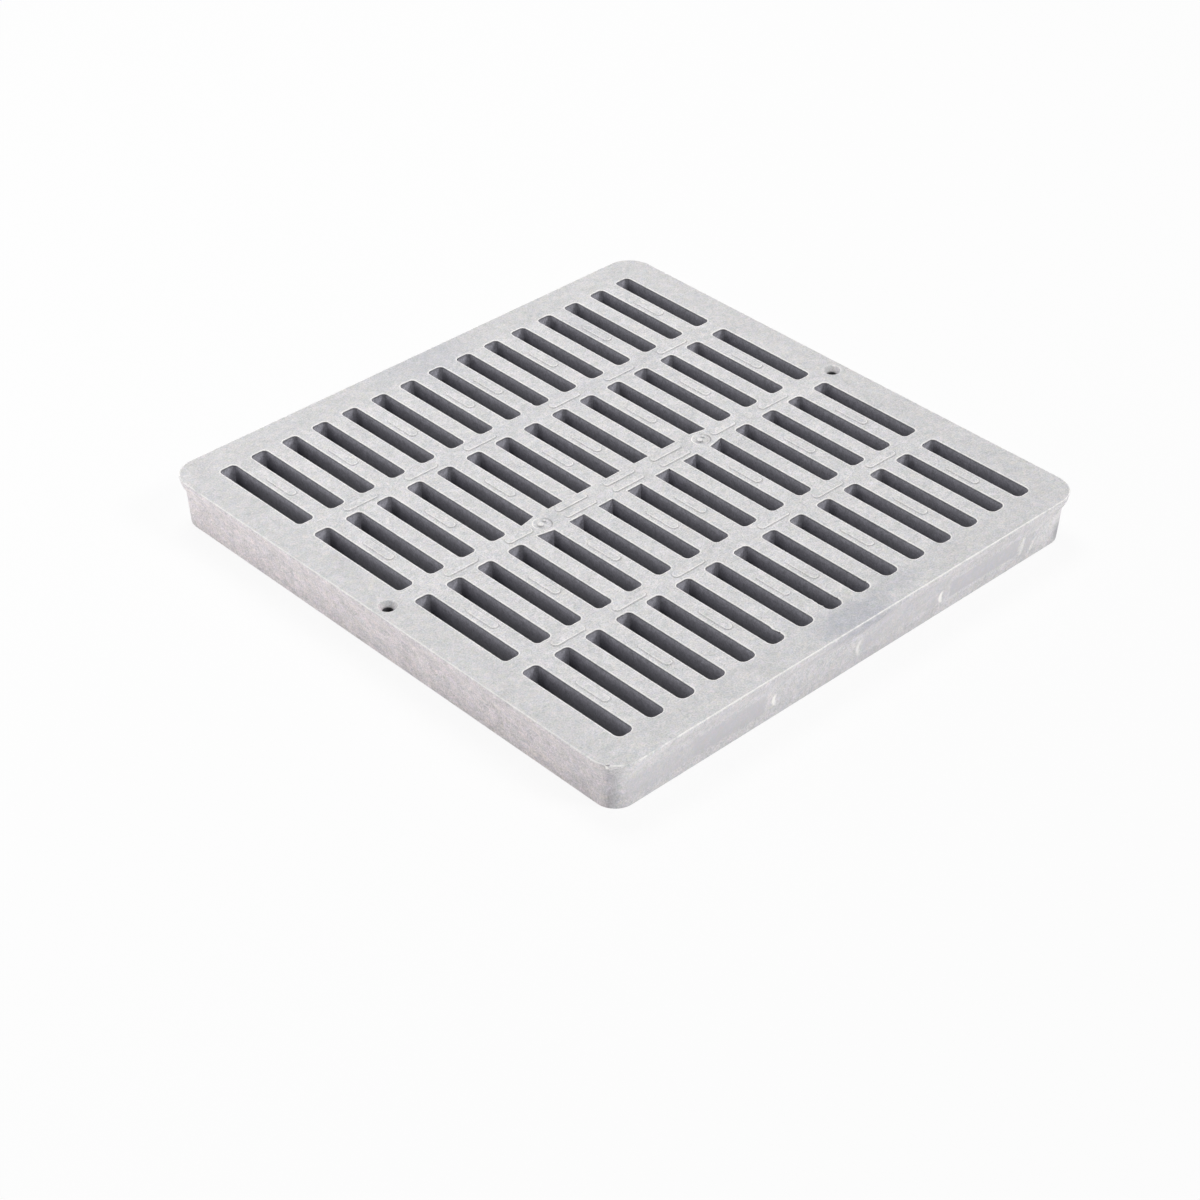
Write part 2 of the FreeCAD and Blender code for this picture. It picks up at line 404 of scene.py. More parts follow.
def add_outside(blank, sizes):
    """Rim with its flash, lip, skirt and foot, from the top face down to the ground.

    Each ring has its height, its inset from the rim's edge and its painted light, a painted highlight along
    the flash and the rounded top edge.
    """
    edge_round, support = 0.4, 0.4
    top = sizes.top
    levels = [
        (top, 1.5, 0.0),
        (top, 0.95, 0.0),
        (top + sizes.flash, 0.66, 0.1),
        (top + sizes.flash, 0.42, 1.2),
    ]
    for back, down in list(quarter(edge_round))[1:]:
        levels.append((top - down, back, 1 - down / edge_round))
    for depth, inset in OUTSIDE_PROFILE:
        levels.append((top - depth, inset, 0.0))
    skirt_top = OUTSIDE_PROFILE[-1][0] + support
    skirt_low = top - sizes.foot_round - support
    for depth in (skirt_top, skirt_low):
        levels.append((top - depth, skirt_inset_at(depth, sizes), 0.0))
    for back, down in list(quarter(sizes.foot_round))[::-1]:
        levels.append((down, foot_inset(sizes) + back, 0.0))
    blank.join([
        blank.polygon(*rim_outline(sizes, inset), height, pale, RIM_ARC_STEPS)
        for height, inset, pale in levels])
    chip_edge(blank, sizes)
    add_pin_marks(blank, sizes, skirt_top, skirt_low)


def chip_edge(blank, sizes):
    """Small chip broken out of the top edge at the near corner, with a painted highlight at its rim and
    painted shade inside.
    """
    depth, bite, lowest, core, outer_layer = 0.9, 0.3, 1.1, 0.12, 0.1
    dark, pale = -1.6, 1.5
    paleness = blank.mesh.verts.layers.float[PAINTED_EDGE_LIGHT]
    for vert in blank.mesh.verts:
        share = 1 - (vert.co.xy - Vector(CHIP)).length / CHIP_REACH
        if share > 0 and vert.co.z > sizes.top - lowest:
            inside = share > core and vert.co.z > sizes.top - outer_layer
            vert[paleness] = dark if inside else pale
            vert.co.z -= depth * share
            vert.co.xy *= 1 - bite * share / vert.co.xy.length


def add_pin_marks(blank, sizes, top_depth, low_depth):
    """Round ejector marks in the flat front of the skirt, with a painted highlight on the burr along their
    left side.

    Each ring has its growth, its rise from the skirt and its painted light.
    """
    def on_front(depth):
        return Vector((0, skirt_inset_at(depth, sizes) - sizes.side / 2, sizes.top - depth))

    drift = skirt_inset_at(low_depth, sizes) - skirt_inset_at(top_depth, sizes)
    lean = math.atan(drift / (low_depth - top_depth))
    place = on_front(sizes.top - PIN_MARK_HEIGHT)
    to_wall = Matrix.Translation(place) @ Matrix.Rotation(math.pi / 2 + lean, 4, "X")
    from_wall = to_wall.inverted()
    middle = on_front((top_depth + low_depth) / 2)
    wall = min(blank.mesh.faces, key=lambda face: (face.calc_center_median() - middle).length)
    corners = [(from_wall @ vert.co).xy for vert in wall.verts]
    bmesh.ops.delete(blank.mesh, geom=[wall], context="FACES_ONLY")
    left, unmarked = (-math.sqrt(2), 0), 0.3
    profile = [
        (0.9, 0.0, 0.0),
        (0.3, 0.06, 0.6),
        (0.0, 0.08, 1.0),
        (-0.7, -0.1, 1.0),
        (-1.4, -0.22, 0.9),
        (-2.3, -0.25, 0.0),
    ]
    panel = Blank()
    outer = panel.polygon(corners, [0.0] * len(corners), 0.0)
    for x, radius, strength in PIN_MARKS:
        rings = [
            panel.circle((x, 0), radius + grow, level, pale, PIN_CIRCLE_STEPS)
            for grow, level, pale in profile]
        panel.weigh(rings, lambda vert: strength * max(
            0.0, min(towards(vert, (x, 0), left) - unmarked, 1.0)))
        panel.join(rings)
        panel.fill(rings[-1])
        outer += rings[0]
    panel.fill(outer)
    bmesh.ops.transform(panel.mesh, matrix=to_wall, verts=panel.mesh.verts[:])
    blank.absorb(panel)


def row_length(sizes):
    """Length of the slots of one row."""
    return (sizes.side - 2 * sizes.end_margin - (SLOT_ROWS - 1) * sizes.crossbar) / SLOT_ROWS


def row_centre(row, sizes):
    """Y of the middle of a row of slots."""
    return (row - (SLOT_ROWS - 1) / 2) * (row_length(sizes) + sizes.crossbar)


def slot_corners(column, row, sizes, grow):
    """Corners and radii of one slot, grown on every side.

    Slots beside the centre crossbar stop short of its panel, and the next one
    along ends on a slant.
    """
    run_out = 1.8
    sharp = 0.3
    inner_x = abs(column) * sizes.slot_pitch - sizes.slot_width / 2
    inner_y = abs(row_centre(row, sizes)) - row_length(sizes) / 2
    outer_y = inner_y + row_length(sizes)
    inner_radius = sizes.slot_corner
    outer_radius = sizes.slot_end_corner if row == 0 else inner_radius
    slope = 0.0
    beside_centre = row in (SLOT_ROWS // 2 - 1, SLOT_ROWS // 2)
    if beside_centre and abs(column) <= PANEL_SIDE_COLUMNS + 1:
        inner_y += (sizes.panel_width - sizes.crossbar) / 2
        inner_radius = sharp
        if abs(column) > PANEL_SIDE_COLUMNS:
            slope = -run_out / sizes.slot_width
    end_grow = grow * math.hypot(1, slope)
    start_y = inner_y - slope * grow - end_grow
    end_y = inner_y + slope * (sizes.slot_width + grow) - end_grow
    side = math.copysign(1, column)
    away = math.copysign(1, row_centre(row, sizes))
    near_x, far_x = side * (inner_x - grow), side * (inner_x + sizes.slot_width + grow)
    far_y = away * (outer_y + grow)
    corners = [(near_x, away * start_y), (far_x, away * end_y), (far_x, far_y), (near_x, far_y)]
    return corners, [inner_radius + grow] * 2 + [outer_radius + grow] * 2


# Small moulding faults in the slots' rims: column and row of the slot, which of its four
# sides, share of the way along that side, half length and depth into the slot in millimetres
SLOT_FAULTS = [
    (-2, 0, 3, 0.135, 2.6, 0.55),
    (-2, 0, 3, 0.075, 0.7, -0.35),
    (0, 0, 3, 0.08, 0.8, 0.3),
    (0, 0, 3, 0.12, 0.9, -0.2),
    (0, 0, 3, 0.185, 1.6, 0.25),
    (0, 0, 1, 0.925, 0.7, -0.35),
    (1, 0, 1, 0.93, 0.7, -0.4),
    (1, 3, 3, 0.93, 1.2, 0.3),
]


def with_faults(corners, radii, column, row, share):
    """Corners with the points of this slot's faults put in, at a share of their depth."""
    places = (-1.0, -0.5, 0.0, 0.35, 0.7, 1.0)
    middle = sum((Vector(corner) for corner in corners), Vector((0, 0))) / len(corners)
    new_corners, new_radii = [], []
    for side, corner in enumerate(corners):
        new_corners.append(corner)
        new_radii.append(radii[side])
        start, end = Vector(corner), Vector(corners[(side + 1) % len(corners)])
        along = (end - start).normalized()
        inward = Vector((-along.y, along.x))
        if inward.dot(middle - start) < 0:
            inward.negate()
        faults = [fault for fault in SLOT_FAULTS if fault[:3] == (column, row, side)]
        for *_, place, half_length, depth in sorted(faults, key=lambda fault: fault[3]):
            centre = start.lerp(end, place)
            for step in places:
                rise = 0.5 + 0.5 * math.cos(math.pi * step)
                point = centre + along * step * half_length + inward * depth * rise * share
                new_corners.append(tuple(point))
                new_radii.append(0.0)
    return new_corners, new_radii


def add_slots(blank, sizes):
    """Every slot: its rounded rim, its walls that fall back towards the underside, and its lower edge.

    Each ring has its growth, its depth, its painted light and its share of the faults' depth: a painted
    highlight round the rim and painted shade just under it.
    """
    low_round = 0.3
    fade = 1.3
    support = 0.5
    rim = [(sizes.slot_edge + support, 0.0, 0.0, 1.0)]
    paleness = (0.8, 1.1, 0.7, 0.0, -0.8)
    for pale, (back, down) in zip(paleness, quarter(sizes.slot_edge)):
        rim.append((back, down, pale, 1.0))
    low = sizes.top - sizes.recess
    below = [
        (0.0, 0.7, -0.55, 0.9),
        (0.0, fade, -0.1, 0.6),
        (0.0, 2 * fade, 0.0, 0.3),
        (0.0, low - low_round, 0.0, 0.0),
    ]
    foot = [
        (0.3 * low_round, low - 0.3 * low_round, 0.0, 0.0),
        (low_round, low, 0.0, 0.0),
        (low_round + support, low, 0.0, 0.0),
    ]
    walls_from = len(rim) - 1
    walls_to = len(rim) + len(below)
    for row, column in product(range(SLOT_ROWS), range(-SIDE_COLUMNS, SIDE_COLUMNS + 1)):
        slot = Blank()
        rings = []
        for grow, depth, pale, share in rim + below + foot:
            taper = sizes.slot_taper * depth / sizes.top
            outline = slot_corners(column, row, sizes, grow + taper)
            outline = with_faults(*outline, column, row, share)
            rings.append(slot.polygon(*outline, sizes.top - depth, pale))
        slot.join(rings[:walls_from + 1])
        slot.join(rings[walls_from:walls_to], WALL)
        slot.join(rings[walls_to - 1:])
        blank.absorb(slot)


def add_pad(blank, sizes, centre, size):
    """Low oblong pad with soft edges, whose painted highlight and painted shade are stronger to the front.

    Its size is given along X and Y. Each ring has its growth, its rise and its painted light: a painted
    highlight at the top edge and painted shade round the base.
    """
    roundness = 0.9
    even, front = 0.75, 0.45
    height = sizes.pad_height
    profile = [
        (0.85, 0.0, 0.0),
        (0.5, 0.0, -0.45),
        (0.2, 0.06, -0.85),
        (0.02, height * 0.6, -0.3),
        (-0.08, height * 0.92, 0.8),
        (-0.35, height, 0.6),
        (-0.65, height, 0.0),
    ]
    spine = [max(0.0, full - min(size)) / 2 for full in size]

    def front_share(vert):
        nearest = [
            max(middle - reach, min(place, middle + reach))
            for place, middle, reach in zip(vert.co.xy, centre, spine)]
        return even + front * towards(vert, nearest, (0, -1))

    pad = Blank()
    rings = []
    for grow, rise, pale in profile:
        half_x, half_y = size[0] / 2 + grow, size[1] / 2 + grow
        corners = [(centre[0] + x * half_x, centre[1] + y * half_y) for x, y in square(1)]
        radius = min(size) * roundness / 2 + grow
        rings.append(pad.polygon(corners, [radius] * 4, sizes.top + rise, pale))
    pad.weigh(rings, front_share)
    pad.join(rings)
    pad.fill(rings[-1])
    blank.absorb(pad)


def add_pads(blank, sizes):
    """Pads along every other bar, along the crossbars and on the middle panel.

    The bars are counted from the middle, both ways.
    """
    short_pad = 15.0
    panel_pad_width = 3.2
    panel_offset = 3.1
    crossbar_pitch = row_length(sizes) + sizes.crossbar
    upright = (sizes.pad_width, sizes.pad_length)
    for number, side in product(range(1, SIDE_COLUMNS + 1), (-1, 1)):
        x = side * (number - 0.5) * sizes.slot_pitch
        if number % 2 == 1:
            for row in range(SLOT_ROWS):
                add_pad(blank, sizes, (x, row_centre(row, sizes)), upright)
            continue
        for line in (-1, 0, 1):
            if line == 0 and number <= PANEL_SIDE_COLUMNS + 1:
                continue
            pad_length = sizes.pad_length
            if line == 0 and number == PANEL_SIDE_COLUMNS + 2:
                pad_length = short_pad
            shift = side * (sizes.pad_length - pad_length) / 2
            add_pad(blank, sizes, (x + shift, line * crossbar_pitch), (pad_length, sizes.pad_width))
    spacing = 2 * (PANEL_SIDE_COLUMNS + 0.5) * sizes.slot_pitch / 3
    for place, side in product((-1, 0, 1), (-1, 1)):
        flat = (sizes.pad_length, panel_pad_width)
        add_pad(blank, sizes, (place * spacing, side * panel_offset), flat)


def add_gate_marks(blank, sizes):
    """Shallow dish at each end of the panel, with the two broken nubs of the gate in it.

    The dish's rings have their radius, rise and painted light, a painted highlight on one side and painted
    shade on the other, and a nub its place, radius and rise; each nub has painted shade on its front side.
    """
    dish, depth, past_panel = 4.2, 0.4, 5.5
    offset = (PANEL_SIDE_COLUMNS + 0.5) * sizes.slot_pitch + past_panel
    # Ways of the painted highlight on the dish and of the painted shade round the nubs
    pale_way, dark_way = (-0.85, 0.53), (-0.75, -0.66)
    profile = [
        (dish + 1.3, 0.0, 0.0),
        (dish + 1.0, 0.0, 0.2),
        (dish + 0.8, -0.06, -0.5),
        (dish + 0.6, 0.05, 1.0),
        (dish + 0.3, 0.05, 1.3),
        (dish + 0.0, -0.1, 0.6),
        (dish - 0.2, -depth + 0.08, -0.1),
        (dish - 0.5, -depth, 0.0),
    ]
    nubs = [(-0.9, 0.0, 1.45, 0.4), (2.4, 1.3, 0.75, 0.25)]
    nub_profile = [
        (0.35, 0.0, -0.9),
        (0.1, 0.1, -1.6),
        (-0.1, 0.85, 0.1),
        (-0.5, 1.0, 0.5),
    ]
    for side in (-1, 1):
        centre = (side * offset, 0)
        outer = [blank.circle(centre, radius, sizes.top + rise, pale) for radius, rise, pale in profile]
        blank.weigh(outer, lambda vert: towards(vert, centre, pale_way))
        blank.join(outer)
        floor = outer[-1]
        for x, y, radius, rise in nubs:
            middle = (centre[0] + x, y)
            base = sizes.top - depth
            rings = [
                blank.circle(middle, radius + grow, base + share * (depth + rise), pale, SMALL_CIRCLE_STEPS)
                for grow, share, pale in nub_profile]
            blank.weigh(rings[:2], lambda vert: max(0.0, towards(vert, middle, dark_way)))
            blank.join(rings)
            blank.fill(rings[-1])
            floor = floor + rings[0]
        blank.fill(floor)


def add_screw_holes(blank, sizes):
    """Countersunk hole near each side edge, bored through its boss to the foot.

    Each ring has its radius, height and painted light: a painted highlight round the seat's rim and painted
    shade down the bore.
    """
    seat_radius, seat_depth = 4.3, 2.6
    top = sizes.top
    rim = [
        (seat_radius + 0.8, top, 0.0),
        (seat_radius + 0.35, top, 0.2),
        (seat_radius + 0.1, top - 0.07, 0.4),
        (seat_radius - 0.15, top - 0.3, 0.1),
        (SCREW_RADIUS + 0.5, top - seat_depth + 0.6, -0.1),
        (SCREW_RADIUS + 0.15, top - seat_depth + 0.2, -0.5),
        (SCREW_RADIUS, top - seat_depth - 0.1, -0.9),
    ]
    bore = [
        (SCREW_RADIUS, top - seat_depth - 1.5, -0.9),
        (SCREW_RADIUS, top - seat_depth - 6.0, -0.7),
        (SCREW_RADIUS, 0.3, 0.0),
        (SCREW_RADIUS + 0.3, 0.0, 0.0),
    ]
    for side in (-1, 1):
        rings = [blank.circle((side * SCREW_X, 0), *level) for level in rim + bore]
        blank.join(rings[:len(rim)])
        blank.join(rings[len(rim) - 1:], WALL)


def mirrored(corners, turn_x, turn_y):
    """Corners on the other side of the middle, where a turn is -1."""
    return [(x * turn_x, y * turn_y) for x, y in corners]


def add_foot_step(blank, sizes):
    """Inner edge of the foot and the step up to the bars, round the screw bosses too.

    Each ring has its height and its growth.
    """
    boss = 6.5
    lean = 0.3
    soft, off_tip = 0.3, 0.6
    boss_x = SCREW_X - boss
    rings = []
    levels = [(0.0, 0.25), (0.25, 0.0), (sizes.recess, 0.0)]
    for height, grow in levels:
        half = sizes.side / 2 - sizes.skirt_inset - sizes.skirt_wall + lean + grow
        reach = boss_x + grow
        half_width = math.sqrt(boss ** 2 - (SCREW_X - half) ** 2) - grow
        bulge = [(half, -half_width), (reach, -half_width), (reach, half_width), (half, half_width)]
        corners = bulge + square(half)[:2]
        corners += mirrored(bulge, -1, -1) + square(half)[2:]
        tip = half - boss_x - off_tip
        corner = sizes.rim_corner - sizes.skirt_inset - sizes.skirt_wall + lean + grow
        radii = [soft, tip, tip, soft, corner, corner] * 2
        rings.append(blank.polygon(corners, radii, height))
    blank.join(rings)


def pocket_outlines(sizes, grow):
    """Corners and radii of every pocket between the ribs of the groove, grown on every side."""
    boss_end = 7.3
    ledge = 0.45
    least_radius = 0.3
    outer = sizes.side / 2 - sizes.skirt_inset - sizes.skirt_wall - ledge + grow
    inner = outer - sizes.groove + ledge - 2 * grow
    soft = 0.7 + grow
    half = (sizes.slot_pitch - sizes.rib) / 2 + grow
    for column in range(1 - SIDE_COLUMNS, SIDE_COLUMNS):
        x = column * sizes.slot_pitch
        corners = [(x - half, inner), (x + half, inner), (x + half, outer), (x - half, outer)]
        for turn in (-1, 1):
            yield mirrored(corners, 1, turn), [soft] * 4
    rib_y = row_length(sizes) + sizes.crossbar
    rib_x = (SIDE_COLUMNS - 0.5) * sizes.slot_pitch
    near_y = rib_y + sizes.rib / 2 - grow
    near_x = rib_x + sizes.rib / 2 - grow
    outer_radius = sizes.rim_corner - sizes.skirt_inset - sizes.skirt_wall - ledge + grow
    inner_radius = outer_radius - sizes.groove + ledge - 2 * grow
    angle = [
        (outer, near_y), (outer, outer), (near_x, outer),
        (near_x, inner), (inner, inner), (inner, near_y),
    ]
    radii = [soft, outer_radius, soft, soft, max(inner_radius, least_radius), soft]
    far = rib_y - sizes.rib / 2 + grow
    start = boss_end - grow
    beside = [(inner, start), (outer, start), (outer, far), (inner, far)]
    for turns in product((-1, 1), repeat=2):
        yield mirrored(angle, *turns), radii
        yield mirrored(beside, *turns), [soft] * 4


def add_pockets(blank, sizes):
    """Cored pockets under the border, with soft edges at their mouth and floor.

    Each ring has its height and its growth beside the draft.
    """
    draft = 0.3
    ceiling = sizes.top - sizes.plate
    lean = draft / ceiling
    levels = [(sizes.recess, 0.18), (sizes.recess + 0.05, 0.04), (sizes.recess + 0.2, 0.0)]
    levels += [(ceiling - 0.5, 0.0), (ceiling - 0.15, -0.15), (ceiling, -0.5)]
    outlines = [list(pocket_outlines(sizes, grow + lean * (ceiling - height))) for height, grow in levels]
    for stack in zip(*outlines):
        pocket = Blank()
        rings = [pocket.polygon(*outline, height) for outline, (height, _) in zip(stack, levels)]
        pocket.join(rings)
        pocket.fill(rings[-1])
        blank.absorb(pocket)


def moulding_mesh(sizes):
    """Finished mesh of the grate, in metres."""
    weld, sharpest = 0.0005, math.radians(40)
    blank = Blank()
    for add in (
            add_outside, add_slots, add_pads, add_gate_marks, add_screw_holes, add_foot_step, add_pockets):
        add(blank, sizes)
    for height in (sizes.top, sizes.recess, 0.0):
        blank.fill_level(height)
    solid = blank.mesh
    bmesh.ops.remove_doubles(solid, verts=solid.verts[:], dist=weld)
    bmesh.ops.recalc_face_normals(solid, faces=solid.faces[:])
    bmesh.ops.scale(solid, vec=(MM, MM, MM), verts=solid.verts[:])
    for face in solid.faces:
        face.smooth = True
    open_edges = sum(not edge.is_manifold for edge in solid.edges)
    mesh = bpy.data.meshes.new(PIECE)
    solid.to_mesh(mesh)
    solid.free()
    if open_edges:
        raise RuntimeError(f"the moulding isn't closed: {open_edges} edges don't have two faces")
    mesh.set_sharp_from_angle(angle=sharpest)
    return mesh


def millimetre_position(node):
    """Object coordinates in millimetres, so that a texture's scale is one over a real size."""
    return node("VectorMath", SCALE, [node("TexCoord").outputs["Object"], 1 / MM])


# Smoother, bluish patches on the top face, where the melt met last: middle and reach along X
# and Y in millimetres, and strength
COOL_PATCHES = [
    (2.0, 143.0, 42.0, 18.0, 0.4),
    (0.0, 121.0, 26.0, 22.0, 0.25),
    (84.0, 110.0, 22.0, 24.0, 0.3),
    (-1.0, -142.0, 30.0, 13.0, 0.8),
    (30.0, -137.0, 22.0, 9.0, 0.35),
    (14.0, -149.0, 26.0, 6.0, 0.3),
    (10.0, 69.0, 120.0, 13.0, 0.16),
    (122.0, -50.0, 16.0, 34.0, 0.15),
    (118.0, 40.0, 14.0, 26.0, 0.15),
]

# Painted shade down the near corner, and a darker patch along the rough side beside it, given in the same
# way
CORNER_SHADE = [
    (-143.6, -141.9, 5.0, 5.0, 0.5),
    (-148.0, -127.0, 9.0, 15.0, 0.25),
]

# Painted shade low on the right end of the skirt's front, in the same way but along X and Z
SHADED_SPOTS = [(138.2, 6.0, 6.0, 8.0, 0.95)]

# Polished bands on the front of the skirt: left and right end, low and high edge above the foot
# in millimetres, strength, and how far the band leans to the right for each millimetre up
POLISHED_BANDS = [
    (-138.0, -57.0, 5.5, 15.6, 0.5, 0.0),
    (-100.0, -58.0, 6.0, 15.6, 0.35, 0.0),
    (4.0, 12.0, 6.0, 14.5, 0.5, 0.0),
    (12.0, 60.0, 7.5, 20.5, 0.45, 0.2),
    (-24.0, 50.0, 0.0, 5.0, 0.3, 0.0),
    (61.0, 108.0, 6.8, 15.6, 0.85, 0.0),
    (112.0, 117.5, 6.0, 14.5, 0.6, 0.3),
]

# Pale scratches and rubbed places on the same front, and a painted highlight along a low ledge (the third),
# given in the same way
SCRATCHES_AND_HIGHLIGHT = [
    (110.1, 112.1, 5.8, 14.6, 0.42, 0.13),
    (117.2, 119.2, 2.6, 11.4, 0.38, 0.53),
    (54.0, 108.0, 5.2, 6.6, 0.15, 0.0),
    (121.0, 133.0, 1.0, 15.0, 0.13, 0.4),
    (-148.0, -116.0, 17.5, 27.0, 0.15, 0.0),
    (118.0, 140.0, 14.0, 24.0, 0.13, 0.3),
]


def soft_band(node, axes, band):
    """Share of a soft-edged oblong patch in X and Z."""
    left, right, low, high, strength, lean = band
    widest_edge = 1.6
    soft = min(widest_edge, right - left, high - low)
    up = node("Math", SUBTRACT, [axes.outputs["Z"], (low + high) / 2])
    along = node("Math", SUBTRACT, [axes.outputs["X"], (left + right) / 2])
    along = node("Math", MULTIPLY_ADD, [up, -lean, along])
    shares = []
    for away, half in ((along, (right - left) / 2), (up, (high - low) / 2)):
        distance = node("Math", ABSOLUTE, [away])
        shares.append(node("MapRange", SMOOTH, [distance, half + soft / 2, half - soft / 2]))
    return combined(node, MULTIPLY, [*shares, strength])


def soft_patch(node, place, patch):
    """Share of a soft round patch in the first two directions of a place."""
    x, y, reach_x, reach_y, strength = patch
    whole_within = 0.25
    scaled = node("VectorMath", MULTIPLY_ADD, [
        place, (1 / reach_x, 1 / reach_y, 0.0), (-x / reach_x, -y / reach_y, 0.0)])
    away = node("VectorMath", LENGTH, [scaled])
    return node("MapRange", SMOOTH, [away, 1.0, whole_within, 0.0, strength])


def side_share(node, axes, axis, sizes):
    """1 on the outer face towards the low end of an axis, and 0 on the top face and elsewhere."""
    edge = -sizes.side / 2
    near = node("MapRange", SMOOTH, [axes.outputs[axis], edge + 7.0, edge + 5.0])
    below = node("MapRange", SMOOTH, [axes.outputs["Z"], sizes.top - 0.1, sizes.top - 0.5])
    return node("Math", MULTIPLY, [near, below])


def add_plastic(node, paint, roughness, relief, depth):
    """Polyethylene's shader with its relief, whose depth is in millimetres."""
    bump = node("Bump", None, {"Strength": 1.0, "Distance": depth * MM, "Height": relief})
    shader = node("BsdfPrincipled", None, {
        "Base Color": paint, "Roughness": roughness, "IOR": 1.51, "Normal": bump})
    node("OutputMaterial", None, [shader])


def skin_noises(node, finish, place, rough):
    """Noises of the skin by name. The mottling is drawn out along the rough side."""
    drawn_out = node("MapRange", None, [rough, 0.0, 1.0, 1.0, 0.55])
    stretch = node("CombineXYZ", None, [1.0, drawn_out, 1.0])
    side_place = node("VectorMath", MULTIPLY, [place, stretch])
    kinds = {
        "grain": (place, finish.grain, 2.0, 0.7, 0.0),
        "mottle": (side_place, finish.mottle, 3.0, 0.85, 0.8),
        "swirl": (place, finish.swirl, 4.0, 0.7, 1.6),
        "flow": (place, finish.vein, 3.0, 0.6, 2.0),
    }
    made = {}
    for name, (where, width, detail, roughness, distortion) in kinds.items():
        made[name] = node("TexNoise", None, {
            "Vector": where, "Scale": 1 / width, "Detail": detail,
            "Roughness": roughness, "Distortion": distortion})
    return SimpleNamespace(**made)


def skin_colour(node, finish, sizes, place, axes, sides, swirl):
    """Colour of the skin before its grain, and the share of the polished bands."""
    rough, smooth = sides
    height, top = axes.outputs["Z"], sizes.top
    wander = 9.0
    warped = node("VectorMath", MULTIPLY_ADD, [swirl.outputs["Color"], (wander * 2,) * 3, place])
    wandering = node("VectorMath", SUBTRACT, [warped, (wander,) * 3])
    above_lip = node("MapRange", SMOOTH, [height, top - 9.0, top - 4.0])
    below_edge = node("MapRange", SMOOTH, [height, top - 0.5, top - 3.0])
    front = node("CombineXYZ", None, [axes.outputs["X"], height])
    marks = [
        (soft_patch, wandering, COOL_PATCHES, above_lip),
        (soft_band, axes, POLISHED_BANDS, smooth),
        (soft_patch, place, CORNER_SHADE, below_edge),
        (soft_patch, front, SHADED_SPOTS, smooth),
        (soft_band, axes, SCRATCHES_AND_HIGHLIGHT, smooth),
    ]
    drawn = []
    for mark, where, group, limit in marks:
        shares = [mark(node, where, values) for values in group]
        drawn.append(node("Math", MULTIPLY, [combined(node, CLAMPED_ADD, shares), limit]))
    cool, polished, corner_shaded, spot_shaded, scratches_and_highlight = drawn
    layers = [
        (rough, finish.rough_side), (smooth, finish.smooth_side), (cool, finish.cool_patch),
        (polished, finish.polished_band), (corner_shaded, finish.painted_corner_shade), (spot_shaded, finish.painted_corner_shade),
        (scratches_and_highlight, finish.edge),
    ]
    base = finish.skin
    for share, paint in layers:
        base = node("Mix", COLOURS, [share, base, paint])
    return base, polished


